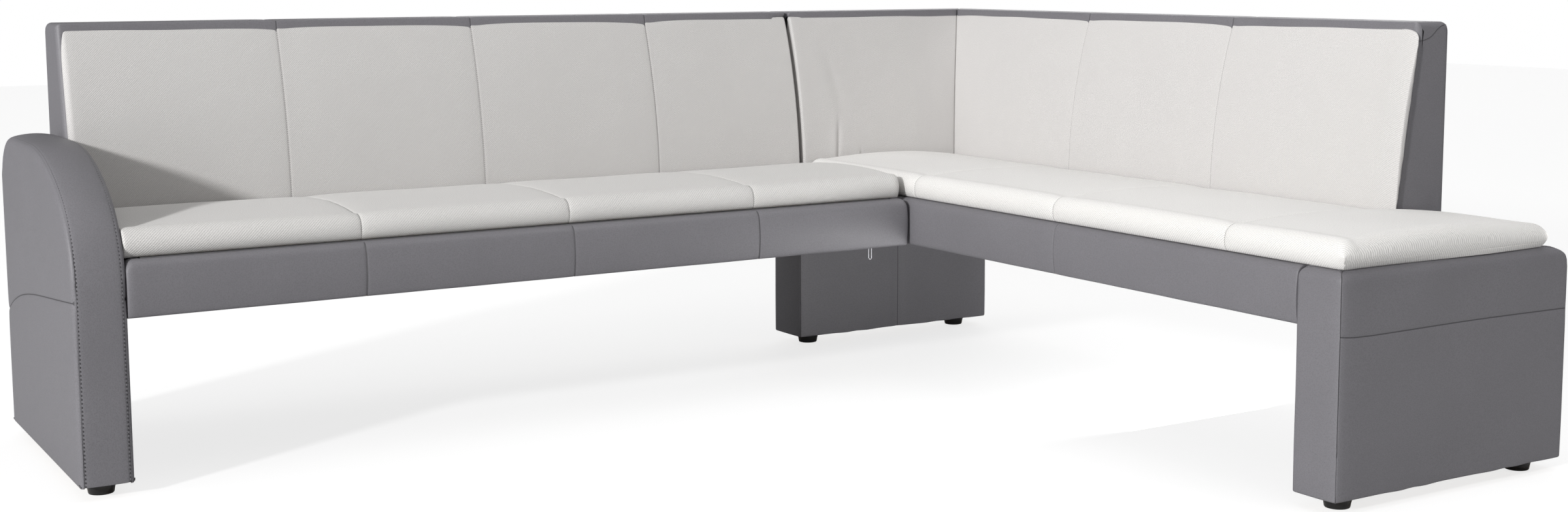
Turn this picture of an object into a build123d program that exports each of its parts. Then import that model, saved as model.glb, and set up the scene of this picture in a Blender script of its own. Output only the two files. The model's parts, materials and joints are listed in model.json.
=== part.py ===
"""Upholstered corner bench: a seat wing with an arm, hooked to a corner wing that ends in a footstool.

Millimetres, +Z up. The origin lies on the floor, below the middle of the bench. The left wing runs
along X with its back to +Y, and the right wing runs along Y with its back to +X.
"""
import math
import os

from build123d import *

# Overall sizes
bench_length = 2470.0           # along X, from the arm's outer side to the right wing's back
bench_width = 1955.0            # along Y, from the back of the left wing to the footstool end
back_height = 860.0
left_wing_depth = 655.0
right_wing_depth = 621.0
module_gap = 10.0               # room for the hooks between the two wings

# Seat frames
frame_bottom = 333.0
frame_height = 107.0
frame_wall = 6.0                # padded leather round a seat frame
frame_corner_radius = 12.0
frame_top_radius = 18.0
rail_thickness = 25.0
cross_rail_height = 60.0
cross_rail_shares = (0.25, 0.5, 0.75)
felt_thickness = 5.4
dust_sheet_thickness = 1.0
dust_sheet_lap = 4.0

# Elastic webbing
webbing_width = 60.0
webbing_thickness = 2.0
webbing_pitch = 135.0
webbing_end_margin = 70.0       # from a frame's end to the middle of the first strap
webbing_lap = 18.0              # how far a strap reaches over a rail
webbing_room = 6.0              # height between the rails and the leather above them
long_webbing_shares = (0.3, 0.55)

# Arm
arm_thickness = 98.0
arm_height = 632.0
arm_curve_start = 385.0         # height where the straight front begins to lean back
arm_front_radius = 200.0
arm_top_radius = 520.0
arm_rear_radius = 110.0

# Slabs: the arm, the corner leg and the footstool end
slab_wall = 8.0                 # padded leather round a slab
slab_edge_radius = 7.0
board_thickness = 16.0
batten_thickness = 25.0
strip_thickness = 3.0
corner_leg_thickness = 125.0
corner_leg_inset = 26.0         # set back from the front of the right wing
corner_leg_radius = 8.0         # at the wall side
end_thickness = 104.0
end_top_radius = 40.0           # at the wall side

# Backs
left_back_base = 190.0          # depth at the seat frame, from the wall to the edge of the fabric
left_back_top = 114.0
right_back_base = 158.0
right_back_length = 1656.0      # from the corner to the free end beside the footstool
back_wall = 6.0
back_edge_radius = 12.0
back_top_radius = 20.0
back_pad = 45.0
back_board = 12.0
rear_board = 4.0
top_rail_height = 40.0
post_width = 40.0
post_depth = 40.0
post_drop = 85.0                # how far a post reaches down into the seat frame
post_screw_share = 0.65         # of that, from the frame's top to the screw
corner_post_shares = (0.22, 0.72)

# Cushions
left_seat_inset = 20.0          # the cushion's nose lies behind the front of the frame
right_seat_inset = 4.0
seat_rear_gap = 3.0
seat_nose_tuck = 12.0
seat_nose_round = 42.0
seat_nose_height = 28.0         # height of the foremost line above the frame
seat_front_rise = 54.0          # heights above the frame at a panel's middle
seat_crown_rise = 61.0
seat_crown_share = 0.3          # of the depth, from the nose to the crown
seat_rear_rise = 43.0
seat_seam_drop = 4.5            # how far a sewn channel lies below the crown
seat_seam_draw = 3.0
end_cushion_inset = 62.0        # bare frame behind the footstool's cushion
deck_lap = 30.0                 # how far the leather reaches under that cushion
back_crown = 17.0
back_seam_crown = 13.0
back_edge_draw = 4.0
soft_gap = 0.4
# Share of a panel's width, and how full the panel is there.
panel_fullness = ((0.03, 0.5), (0.14, 0.88), (0.5, 1.0), (0.86, 0.88), (0.97, 0.5))
left_seam_shares = (0.26, 0.516, 0.772)     # of the left wing's length, from the arm
right_seat_seams = (0.0, 500.0, 1003.0)     # from the front line of the left wing, towards the end
right_back_seams = (0.0, 486.0)

# Feet
foot_height = 26.0
foot_diameter = 52.0
foot_base_diameter = 46.0
foot_recess = 9.0
foot_end_distance = 62.0

# Screws
frame_screw_radius = 3.5
frame_screw_length = 50.0
frame_screw_head_radius = 6.0
frame_screw_head = 5.0
small_screw_radius = 2.0
small_screw_length = 22.0
small_screw_head_radius = 4.0
small_screw_head = 2.0
side_screw_shares = (0.2, 0.5, 0.8)
leg_screw_shares = (0.25, 0.75)
foot_screw_radius = 2.5
foot_screw_length = 40.0
foot_screw_head_radius = 5.0
foot_screw_head = 3.0
drill_gap = 0.15

# Coupling of the two wings
hook_sheet = 2.5
hook_width = 30.0
hook_height = 44.0
hook_lip = 16.0
hook_play = 0.3
strap_arm = 3.0
strap_flange = 16.0
strap_height = 18.0
hook_distance = 200.0           # from the front and from the wall
latch_board_width = 85.0
latch_board_thickness = 18.0
latch_plate = 2.0
latch_travel = 40.0
latch_plate_length = latch_travel + 50.0    # room for the travel, both guides and the hand loop
latch_plate_width = 44.0
latch_plate_inset = 10.0
latch_guide = 10.0
latch_guide_width = 18.0
latch_drop = 7.0                # from the plate to the middle of the bolt
latch_bolt_radius = 4.0
latch_bore_gap = 0.3
latch_bolt_reach = 26.0         # of the bolt into the right wing
latch_bolt_tail = 12.0
latch_keeper_length = 18.0
latch_keeper_inset = 5.0
latch_distance = 112.0          # behind the front of the left wing
loop_wire_radius = 1.5
loop_width = 10.5
loop_bend_share = 0.95          # of half the loop's width
loop_drop = 46.0                # of the hand loop below the seat frame

# Places worked out from the sizes above
x_left = -bench_length / 2
x_wall = bench_length / 2
y_wall = bench_width / 2
y_end = -bench_width / 2
x_arm = x_left + arm_thickness
x_joint = x_wall - right_wing_depth
y_front = y_wall - left_wing_depth
frame_top = frame_bottom + frame_height
rail_top = frame_top - frame_wall - webbing_room
left_length = x_joint - module_gap - x_arm
right_length = bench_width - end_thickness
mitre = right_back_base / left_back_base
right_back_top = left_back_top * mitre
rail_inside = frame_wall + rail_thickness
post_front = rail_inside + post_depth
deck_depth = end_cushion_inset + deck_lap
reach = 400.0                   # longer than any cut has to be
spill = 20.0                    # how far a cutting shape stands out past what it cuts

left_place = Pos(x_arm, y_wall, 0)
corner_place = Pos(x_joint, y_wall, 0)
right_place = Pos(x_wall, y_wall, 0) * Rot(0, 0, -90)

nodes = {}


# Basic shapes

def block(x0, x1, y0, y1, z0, z1):
    """A box between two corners."""
    centre = Pos((x0 + x1) / 2, (y0 + y1) / 2, (z0 + z1) / 2)
    return centre * Box(x1 - x0, y1 - y0, z1 - z0)


def rod(start, direction, length, radius):
    """A cylinder from a point, along a direction."""
    plane = Plane(origin=start, z_dir=direction)
    return plane * Cylinder(radius, length, align=(Align.CENTER, Align.CENTER, Align.MIN))


def along_x(points, x0, x1):
    """A (y, z) outline carried from x0 to x1."""
    face = make_face(Polyline(*points, close=True))
    return extrude(Plane.YZ.offset(x0) * face, amount=x1 - x0)


def along_y(points, y0, y1):
    """An (x, z) outline carried from y0 to y1."""
    face = make_face(Polyline(*points, close=True))
    return extrude(Plane.XZ.offset(-y1) * face, amount=y1 - y0)


def plan(points, z0, z1):
    """An (x, y) outline carried from z0 to z1."""
    face = make_face(Polyline(*points, close=True))
    return extrude(Plane.XY.offset(z0) * face, amount=z1 - z0)


def screw(start, direction, length, radius, head, head_radius):
    """A screw whose head sits on the surface at start and whose shank runs along direction."""
    back = [a - b * head for a, b in zip(start, direction)]
    return rod(start, direction, length, radius) + rod(back, direction, head, head_radius)


def keep(name, *solids):
    """Add solids to a node."""
    nodes.setdefault(name, []).extend(solids)


def drill(names, start, direction, length, radius):
    """Take one screw's hole out of every piece in the named nodes."""
    hole = rod(start, direction, length + drill_gap, radius + drill_gap)
    for name in names:
        nodes[name] = [solid - hole for solid in nodes[name]]


def drive_frame_screw(names, start, direction):
    """Drill the named pieces and put a frame screw there."""
    drill(names, start, direction, frame_screw_length, frame_screw_radius)
    keep("frame_screws", screw(start, direction, frame_screw_length, frame_screw_radius,
                               frame_screw_head, frame_screw_head_radius))


def drive_small_screw(names, start, direction):
    """Drill the named pieces and put a small screw of the coupling there."""
    drill(names, start, direction, small_screw_length, small_screw_radius)
    keep("coupling_screws", screw(start, direction, small_screw_length, small_screw_radius,
                                  small_screw_head, small_screw_head_radius))


# Seat frames, made with the wall along y = 0, the front at y = -depth and the length along x

def frame_cover(length, depth):
    """Padded leather round the four sides of a frame, with a lip over the rails."""
    shell = block(0, length, -depth, 0, frame_bottom, frame_top)
    shell = fillet(shell.edges().filter_by(Axis.Z), frame_corner_radius)
    shell = fillet(shell.faces().sort_by(Axis.Z)[-1].edges(), frame_top_radius)
    wall = frame_wall
    lip = rail_inside
    shell -= block(wall, length - wall, wall - depth, -wall, frame_bottom - spill, frame_top - wall)
    shell -= block(lip, length - lip, lip - depth, -lip, frame_bottom - spill, frame_top + spill)
    return shell


def seat_frame(side, length, depth, place, straps_span, felt_from, sheet_span, leg_rail):
    """The rails, webbing, felt, dust sheet and leather of one seat. Returns the strap places."""
    wall = frame_wall
    inner = rail_inside
    first, last = straps_span
    count = max(3, round((last - first) / webbing_pitch) + 1)
    step = (last - first) / (count - 1)
    straps = [first + step * i for i in range(count)]

    keep(side + "_front_rail", place * block(wall, length - wall, wall - depth, inner - depth,
                                             frame_bottom, rail_top))
    keep(side + "_back_rail", place * block(wall, length - wall, -inner, -wall,
                                            frame_bottom, rail_top))

    across = [block(wall, inner, inner - depth, -inner, frame_bottom, rail_top),
              block(length - inner, length - wall, inner - depth, -inner, frame_bottom, rail_top)]
    middles = [straps[round(part * (count - 1))] for part in cross_rail_shares]
    if leg_rail:
        middles.append(leg_rail)
    for x in middles:
        across.append(block(x - rail_thickness / 2, x + rail_thickness / 2, inner - depth, -inner,
                            frame_bottom, frame_bottom + cross_rail_height))
    keep(side + "_cross_rails", *[place * rail for rail in across])

    half = webbing_width / 2
    lap = inner - webbing_lap
    over = rail_top + webbing_thickness
    for x in straps:
        keep(side + "_webbing", place * block(x - half, x + half, lap - depth, -lap, rail_top, over))
    for share in long_webbing_shares:
        y = -share * depth
        keep(side + "_webbing", place * block(lap, length - lap, y - half, y + half,
                                              over, over + webbing_thickness))

    felt = block(felt_from + soft_gap, length - inner - soft_gap, inner + soft_gap - depth,
                 -max(post_front, deck_depth) - soft_gap, frame_top - felt_thickness, frame_top)
    keep(side + "_seat_felt", place * felt)

    edge = inner - dust_sheet_lap
    sheet = block(*sheet_span, edge - depth, -edge,
                  frame_bottom - dust_sheet_thickness, frame_bottom)
    keep(side + "_dust_sheet", place * sheet)
    keep(side + "_frame_cover", place * frame_cover(length, depth))
    return straps, step


# Seat cushions, made in the same place as the frames

def panel_stations(ends, seams):
    """Places along a cushion with how full it is there: 0 at a sewn line, 1 in mid panel."""
    lines = [ends[0], *seams, ends[1]]
    stations = [(lines[0], 0.0)]
    for start, end in zip(lines, lines[1:]):
        stations += [(start + share * (end - start), full) for share, full in panel_fullness]
        stations.append((end, 0.0))
    return stations


def seat_section(x, depth, inset, rear, full):
    """A cushion's outline across the seat: flat base, round nose, crowned top, flat rear."""
    draw = seat_seam_draw * (1 - full)
    drop = seat_seam_drop * (1 - full)
    nose = -depth + inset + draw
    base = (nose + seat_nose_tuck, frame_top)
    front = (nose, frame_top + seat_nose_height)
    shoulder = (nose + seat_nose_round, frame_top + seat_front_rise - drop)
    crown = (nose + seat_crown_share * (rear - nose), frame_top + seat_crown_rise - drop)
    top = (rear, frame_top + seat_rear_rise - drop)
    edges = [Line((rear, frame_top), base), ThreePointArc(base, front, shoulder),
             ThreePointArc(shoulder, crown, top), Line(top, (rear, frame_top))]
    return Plane.YZ.offset(x) * make_face(edges)


def seat_cushion(ends, seams, depth, inset, rear):
    """A cushion with sewn channels across it, lofted from end to end."""
    sections = [seat_section(x, depth, inset, rear, full) for x, full in panel_stations(ends, seams)]
    return loft(sections, ruled=True)


# Backs, made with the wall along y = 0 and the length along x

def lean(base, top, z):
    """The y of the plane through a back's front edges at a height."""
    share = (z - frame_top) / (back_height - frame_top)
    return -(base + (top - base) * share)


def slanted(base, top, front, z0, z1, y_rear):
    """Outline between an upright line at y_rear and a line parallel to the back's front."""
    return [(y_rear, z0), (y_rear, z1), (lean(base, top, z1) + front, z1),
            (lean(base, top, z0) + front, z0)]


def back_cover(length, base, top, closed_start, closed_end):
    """Leather over the rear, the top and the free ends of a back, open to the front and below."""
    shell = along_x(slanted(base, top, 0, frame_top, back_height, 0), 0, length)
    rear_top = shell.edges().filter_by(Axis.X).sort_by(Axis.Y).group_by(Axis.Z)[-1].sort_by(Axis.Y)
    shell = fillet(rear_top[-1], back_top_radius)
    ends = [face for face, closed in ((shell.faces().sort_by(Axis.X)[0], closed_start),
                                      (shell.faces().sort_by(Axis.X)[-1], closed_end)) if closed]
    for face in ends:
        rim = [edge for edge in face.edges() if edge.center().Z > frame_top + 1]
        shell = fillet(rim, back_edge_radius)
    x0 = back_wall if closed_start else -spill
    x1 = length - back_wall if closed_end else length + spill
    hollow = slanted(base, top, -reach, frame_top - spill, back_height - back_wall, -back_wall)
    return shell - along_x(hollow, x0, x1)


def back_section(x, base, top, full):
    """A back pad's outline from seat to top: flat rear, crowned fabric front."""
    low = frame_top + soft_gap
    high = back_height - back_wall - soft_gap
    middle = (low + high) / 2
    crown = back_seam_crown + (back_crown - back_seam_crown) * full
    draw = back_edge_draw * (1 - full)
    rear_low = (lean(base, top, low) + back_pad, low)
    rear_high = (lean(base, top, high) + back_pad, high)
    front_high = (lean(base, top, high) + draw, high)
    front_middle = (lean(base, top, middle) - crown, middle)
    front_low = (lean(base, top, low) + draw, low)
    edges = [Line(rear_low, rear_high), Line(rear_high, front_high),
             ThreePointArc(front_high, front_middle, front_low), Line(front_low, rear_low)]
    return Plane.YZ.offset(x) * make_face(edges)


def back_cushion(ends, seams, base, top):
    """A back pad with sewn channels from top to bottom, lofted from end to end."""
    sections = [back_section(x, base, top, full) for x, full in panel_stations(ends, seams)]
    return loft(sections, ruled=True)


def back_unit(name, length, base, top, place, cut, closed, seams, posts):
    """One back: its cover, pad, boards, top rail and the posts that carry it. cut trims the mitre."""
    closed_start, closed_end = closed
    x0 = back_wall if closed_start else -spill
    x1 = length - back_wall if closed_end else length + spill
    low = frame_top + soft_gap
    high = back_height - back_wall
    keep(name + "_cover", place * (back_cover(length, base, top, closed_start, closed_end) & cut))

    pad_ends = (x0 + (soft_gap if closed_start else 0), x1 - (soft_gap if closed_end else 0))
    keep(name + "_cushion", place * (back_cushion(pad_ends, seams, base, top) & cut))

    front = slanted(base, top, back_pad, low, high - soft_gap, 0)
    behind = slanted(base, top, back_pad + back_board, low, high - soft_gap, 0)
    board = along_x(front, x0, x1) - along_x(behind, x0 - spill, x1 + spill)
    keep(name + "_front_board", place * (board & cut))

    rear = block(x0, x1, -back_wall - rear_board, -back_wall, low, high)
    keep(name + "_rear_board", place * (rear & cut))

    rail_low = high - top_rail_height
    rail = slanted(base, top, back_pad + back_board, rail_low, high - soft_gap, -back_wall - rear_board)
    keep(name + "_top_rail", place * (along_x(rail, x0, x1) & cut))

    room = along_x(slanted(base, top, back_pad + back_board, low, rail_low, -back_wall - rear_board),
                   -spill, length + spill)
    for x in posts:
        half = post_width / 2
        upper = block(x - half, x + half, -post_front, 0, low, rail_low) & room
        lower = block(x - half, x + half, -post_front, post_depth - post_front,
                      frame_top - post_drop, low)
        keep(name + "_posts", place * (upper + lower))


# Slabs that stand on the feet

def arm_outline(inset):
    """The arm's side: upright front, two tangent arcs that lean it back, level top, round rear."""
    front = y_front + inset
    rear = y_wall - inset
    top = arm_height - inset
    low_radius = arm_front_radius - inset
    high_radius = arm_top_radius - inset
    rear_radius = max(arm_rear_radius - inset, 1.0)
    rise = arm_height - arm_curve_start
    turn = math.asin((arm_top_radius - rise) / (arm_top_radius - arm_front_radius))
    start = Vector(front, arm_curve_start)
    meet = start + Vector(low_radius * (1 - math.cos(turn)), low_radius * math.sin(turn))
    half = turn / 2
    low_middle = start + Vector(low_radius * (1 - math.cos(half)), low_radius * math.sin(half))
    crest = Vector(meet.X + high_radius * math.cos(turn), top)
    mean = (turn + math.pi / 2) / 2
    high_middle = Vector(crest.X - high_radius * math.cos(mean), top - high_radius * (1 - math.sin(mean)))
    bend = Vector(rear - rear_radius, top)
    drop = Vector(rear, top - rear_radius)
    share = rear_radius * math.sqrt(0.5)
    bend_middle = Vector(rear - rear_radius + share, top - rear_radius + share)
    edges = [Line((front, foot_height), start), ThreePointArc(start, low_middle, meet),
             ThreePointArc(meet, high_middle, crest), Line(crest, bend),
             ThreePointArc(bend, bend_middle, drop), Line(drop, (rear, foot_height)),
             Line((rear, foot_height), (front, foot_height))]
    return make_face(edges)


def arm_slice(inset, x0, x1):
    """The arm's outline, set in by inset, between two places across the arm."""
    return extrude(Plane.YZ.offset(x0) * arm_outline(inset), amount=x1 - x0)


def arm():
    """The arm: two boards on battens, a bent strip round their edge and a leather cover."""
    outside = arm_slice(0, x_left, x_arm)
    rims = [edge for edge in outside.edges()
            if abs(edge.tangent_at(0.5).X) < 0.5 and edge.center().Z > foot_height + 1]
    cover = fillet(rims, slab_edge_radius)
    core0 = x_left + slab_wall
    core1 = x_arm - slab_wall
    inset = slab_wall + strip_thickness
    keep("arm_cover", cover - arm_slice(slab_wall, core0, core1))
    keep("arm_edge_strip", arm_slice(slab_wall, core0, core1)
         - arm_slice(inset, core0 - spill, core1 + spill))
    keep("arm_outer_board", arm_slice(inset, core0, core0 + board_thickness))
    keep("arm_inner_board", arm_slice(inset, core1 - board_thickness, core1))

    x0 = core0 + board_thickness
    x1 = core1 - board_thickness
    front = y_front + inset
    rear = y_wall - inset
    top = arm_height - inset
    step = batten_thickness
    keep("arm_battens",
         block(x0, x1, front, rear, foot_height, foot_height + step),
         block(x0, x1, front, front + step, foot_height + step, arm_curve_start),
         block(x0, x1, rear - step, rear, foot_height + step, top - arm_rear_radius),
         block(x0, x1, y_wall - left_wing_depth / 3, rear - arm_rear_radius, top - step, top))


def slab(name, x0, x1, y0, y1, top, wall_radius):
    """A free slab along X: two boards on battens under a leather cover that is open below."""
    outline = Plane.XZ.offset(-y1) * make_face(Polyline((x0, foot_height), (x0, top), (x1, top),
                                                        (x1, foot_height), close=True))
    inner = block(x0 + slab_wall, x1 - slab_wall, y0 + slab_wall, y1 - slab_wall,
                  foot_height - spill, top - slab_wall)
    cover = extrude(outline, amount=y1 - y0)
    uprights = cover.edges().filter_by(Axis.Y).group_by(Axis.Z)[-1].sort_by(Axis.X)
    cover = fillet(uprights[-1], wall_radius)
    rims = [edge for edge in cover.edges()
            if edge.center().Z > foot_height + 1 and abs(edge.tangent_at(0.5).Y) < 0.5]
    cover = fillet(rims, slab_edge_radius)

    hollow = inner.edges().filter_by(Axis.Y).group_by(Axis.Z)[-1].sort_by(Axis.X)
    core = fillet(hollow[-1], max(wall_radius - slab_wall, 1.0)) - block(
        x0, x1, y0, y1, foot_height - 2 * spill, foot_height)
    keep(name + "_cover", cover - core - inner)

    a0, a1 = x0 + slab_wall, x1 - slab_wall
    b0, b1 = y0 + slab_wall, y1 - slab_wall
    keep(name + "_boards",
         core & block(a0, a1, b0, b0 + board_thickness, foot_height, top),
         core & block(a0, a1, b1 - board_thickness, b1, foot_height, top))
    c0, c1 = b0 + board_thickness, b1 - board_thickness
    step = batten_thickness
    high = top - slab_wall
    keep(name + "_battens",
         block(a0, a1, c0, c1, foot_height, foot_height + step),
         block(a0, a0 + step, c0, c1, foot_height + step, high - step),
         block(a1 - step, a1, c0, c1, foot_height + step, high - wall_radius - step),
         block(a0, a1 - wall_radius, c0, c1, high - step, high))


def foot(name, x, y, battens):
    """A round plastic foot with its screw, driven up into the slab's bottom batten."""
    profile = Polyline((0, 0), (foot_base_diameter / 2, 0), (foot_diameter / 2, foot_height / 2),
                       (foot_diameter / 2, foot_height), (0, foot_height), close=True)
    body = revolve(Plane.XZ * make_face(profile), axis=Axis.Z)
    body -= rod((0, 0, 0), (0, 0, 1), foot_recess, foot_screw_head_radius + drill_gap)
    keep(name, Pos(x, y, 0) * body)
    start = (x, y, foot_recess)
    drill([name, battens], start, (0, 0, 1), foot_screw_length, foot_screw_radius)
    keep("foot_screws", screw(start, (0, 0, 1), foot_screw_length, foot_screw_radius,
                              foot_screw_head, foot_screw_head_radius))


# Coupling of the two wings

def hook_pair(y, z):
    """A hook on the left wing's end and the strap that it hangs on, in the gap between the wings."""
    left = x_joint - module_gap
    lip = x_joint - hook_play - hook_sheet
    half = hook_width / 2
    outline = [(left, z - hook_height), (left, z), (lip + hook_sheet, z),
               (lip + hook_sheet, z - hook_lip), (lip, z - hook_lip), (lip, z - hook_sheet),
               (left + hook_sheet, z - hook_sheet), (left + hook_sheet, z - hook_height)]
    keep("hook_plates", along_y(outline, y - half, y + half))

    bar = lip - hook_play
    end = half + hook_play + strap_arm
    top = z - hook_sheet - hook_play
    low = top - strap_height
    strap = block(bar - hook_sheet, x_joint, y - end, y + end, low, top)
    strap -= block(bar, x_joint, y - half - hook_play, y + half + hook_play, low - spill, top + spill)
    strap += block(x_joint - hook_sheet, x_joint, y - end - strap_flange, y - end, low, top)
    strap += block(x_joint - hook_sheet, x_joint, y + end, y + end + strap_flange, low, top)
    keep("hook_straps", strap)

    for side in (-1, 1):
        place = (left + hook_sheet, y + side * half / 2, z - hook_height + 2 * small_screw_head_radius)
        drive_small_screw(["hook_plates", "left_frame_cover", "left_cross_rails"], place, (-1, 0, 0))
        place = (x_joint - hook_sheet, y + side * (end + strap_flange / 2), (low + top) / 2)
        drive_small_screw(["hook_straps", "right_frame_cover", "right_front_rail"], place, (1, 0, 0))


def latch():
    """A bolt under the left frame that slides into a keeper under the right one."""
    y = y_front + latch_distance
    plate_top = frame_bottom
    plate_low = plate_top - latch_plate
    axis_z = plate_low - latch_drop
    guide_low = axis_z - latch_bolt_radius - 2 * latch_plate
    half = latch_guide_width / 2
    plate1 = x_joint - module_gap - latch_plate_inset
    plate0 = plate1 - latch_plate_length
    bore = rod((plate0 - reach, y, axis_z), (1, 0, 0), 3 * reach, latch_bolt_radius + latch_bore_gap)

    inner = x_joint - module_gap - rail_inside
    front = y_front + rail_inside
    rear = y_wall - rail_inside
    keep("latch_board", block(inner - latch_board_width, inner, front, rear,
                              frame_bottom, frame_bottom + latch_board_thickness))

    base = block(plate0, plate1, y - latch_plate_width / 2, y + latch_plate_width / 2,
                 plate_low, plate_top)
    base += block(plate0, plate0 + latch_guide, y - half, y + half, guide_low, plate_low)
    base += block(plate1 - latch_guide, plate1, y - half, y + half, guide_low, plate_low)
    keep("latch_base", base - bore)

    keeper0 = x_joint + latch_keeper_inset
    keeper1 = keeper0 + latch_keeper_length
    keeper = block(keeper0, keeper1, y - latch_plate_width / 2, y + latch_plate_width / 2,
                   plate_low, plate_top)
    keeper += block(keeper0, keeper1, y - half, y + half, guide_low, plate_low)
    keep("latch_keeper", keeper - bore)

    tip = x_joint + latch_bolt_reach
    bolt = rod((plate0 - latch_bolt_tail, y, axis_z), (1, 0, 0),
               tip - plate0 + latch_bolt_tail, latch_bolt_radius)
    loop_x = plate1 - latch_guide - loop_width
    half_loop = loop_width / 2 - loop_wire_radius
    loop_z = frame_bottom - loop_drop + loop_wire_radius
    path = FilletPolyline((loop_x - half_loop, y, axis_z), (loop_x - half_loop, y, loop_z),
                          (loop_x + half_loop, y, loop_z), (loop_x + half_loop, y, axis_z),
                          radius=loop_bend_share * half_loop)
    section = Plane(origin=(loop_x - half_loop, y, axis_z), z_dir=(0, 0, -1)) * Circle(loop_wire_radius)
    keep("latch_bolt", bolt + sweep(section, path=path))

    side = (latch_plate_width + latch_guide_width) / 4
    for sign in (-1, 1):
        for x in (plate0 + latch_guide, plate1 - latch_guide):
            board = ["latch_base", "latch_board", "left_cross_rails"]
            drive_small_screw(board, (x, y + sign * side, plate_low), (0, 0, 1))
        drive_small_screw(["latch_keeper", "right_front_rail"],
                          ((keeper0 + keeper1) / 2, y + sign * side, plate_low), (0, 0, 1))


# Left wing
strap_margin = rail_inside + webbing_end_margin
left_sheet_end = left_length - rail_inside - latch_board_width - soft_gap
left_straps, left_step = seat_frame(
    "left", left_length, left_wing_depth, left_place, (strap_margin, left_length - strap_margin),
    rail_inside, (rail_inside - dust_sheet_lap, left_sheet_end), None)
left_rear = -left_back_base - seat_rear_gap
left_seams = [left_length * share for share in left_seam_shares]
keep("left_seat_cushion", left_place * seat_cushion(
    (soft_gap, left_length - soft_gap), left_seams, left_wing_depth, left_seat_inset, left_rear))
whole = block(-spill, left_length + spill, -reach, spill, 0, back_height + spill)
last_gap = len(left_straps) - 2
left_posts = [left_straps[gap] + left_step / 2
              for gap in (0, round(last_gap / 3), round(2 * last_gap / 3), last_gap)]
back_unit("left_back", left_length, left_back_base, left_back_top, left_place, whole,
          (True, True), left_seams, left_posts)
screw_z = frame_top - post_screw_share * post_drop
for x in left_posts:
    drive_frame_screw(["left_back_posts", "left_back_rail"],
                      (x_arm + x, y_wall - post_front, screw_z), (0, 1, 0))

# Right wing with the corner
leg_room = (post_front + frame_screw_head, corner_leg_thickness - slab_wall - board_thickness)
leg_rail_place = sum(leg_room) / 2 + soft_gap
right_first = leg_rail_place + strap_margin
right_straps, right_step = seat_frame(
    "right", right_length, right_wing_depth, right_place, (right_first, right_length - strap_margin),
    post_front, (corner_leg_thickness + soft_gap, right_length - rail_inside + dust_sheet_lap),
    leg_rail_place)

corner_cut = plan([(-spill, spill), (right_wing_depth + mitre * spill, spill),
                   (right_wing_depth - mitre * reach, -reach), (-spill, -reach)], 0, back_height + spill)
right_cut = plan([(-spill / mitre, spill), (right_back_length + spill, spill),
                  (right_back_length + spill, -reach), (reach / mitre, -reach)], 0, back_height + spill)
corner_clear = right_wing_depth - right_back_base
corner_posts = [corner_clear * share for share in corner_post_shares]
back_unit("corner_back", right_wing_depth, left_back_base, left_back_top, corner_place, corner_cut,
          (True, False), [], corner_posts)
seam_start = left_wing_depth
right_posts = [place + right_step / 2 for place in right_straps[:-1]
               if left_back_base + post_width < place + right_step / 2 < right_back_length - post_width]
right_posts = [right_posts[0], right_posts[len(right_posts) // 3], right_posts[2 * len(right_posts) // 3],
               right_posts[-1]]
back_unit("right_back", right_back_length, right_back_base, right_back_top, right_place, right_cut,
          (False, True), [seam_start + seam for seam in right_back_seams], right_posts)

deck = block(right_back_length - post_width, right_length - frame_wall, -deck_depth, -frame_wall,
             frame_top - frame_wall, frame_top)
nodes["right_frame_cover"] = [nodes["right_frame_cover"][0] + right_place * deck]
right_ends = (left_back_base + seat_rear_gap, bench_width - soft_gap)
right_cushion = seat_cushion(right_ends, [seam_start + seam for seam in right_seat_seams],
                             right_wing_depth, right_seat_inset, -end_cushion_inset)
notch = block(0, right_back_length + seat_rear_gap, -right_back_base - seat_rear_gap, spill,
              frame_top - spill, back_height)
keep("right_seat_cushion", right_place * (right_cushion - notch))

for x in right_posts:
    drive_frame_screw(["right_back_posts", "right_back_rail"],
                      (x_wall - post_front, y_wall - x, screw_z), (1, 0, 0))
for x in corner_posts:
    drive_frame_screw(["corner_back_posts", "right_cross_rails"],
                      (x_joint + x, y_wall - post_front, screw_z), (0, 1, 0))

# Slabs and their feet
arm()
slab("corner_leg", x_joint + corner_leg_inset, x_wall, y_wall - corner_leg_thickness, y_wall,
     frame_bottom, corner_leg_radius)
slab("end_panel", x_joint, x_wall, y_end, y_end + end_thickness, frame_top, end_top_radius)

arm_middle = x_left + arm_thickness / 2
foot("arm_feet", arm_middle, y_front + foot_end_distance, "arm_battens")
foot("arm_feet", arm_middle, y_wall - foot_end_distance, "arm_battens")
leg_y = y_wall - corner_leg_thickness / 2
foot("corner_leg_feet", x_joint + corner_leg_inset + foot_end_distance, leg_y, "corner_leg_battens")
foot("corner_leg_feet", x_wall - foot_end_distance, leg_y, "corner_leg_battens")
end_y = y_end + end_thickness / 2
foot("end_panel_feet", x_joint + foot_end_distance, end_y, "end_panel_battens")
foot("end_panel_feet", x_wall - foot_end_distance, end_y, "end_panel_battens")

for share in side_screw_shares:
    arm_y = y_front + share * left_wing_depth
    drive_frame_screw(["arm_inner_board", "arm_cover", "left_frame_cover", "left_cross_rails"],
                      (x_arm - slab_wall - board_thickness, arm_y, frame_bottom + frame_height / 2),
                      (1, 0, 0))
    end_x = x_joint + share * right_wing_depth
    drive_frame_screw(["end_panel_boards", "end_panel_cover", "right_frame_cover", "right_cross_rails"],
                      (end_x, y_end + end_thickness - slab_wall - board_thickness,
                       frame_bottom + frame_height / 2), (0, 1, 0))
for share in leg_screw_shares:
    drive_frame_screw(["corner_leg_battens", "corner_leg_cover", "right_cross_rails"],
                      (x_joint + corner_leg_inset + share * (right_wing_depth - corner_leg_inset),
                       y_wall - leg_rail_place, frame_bottom - slab_wall - batten_thickness), (0, 0, 1))

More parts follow.
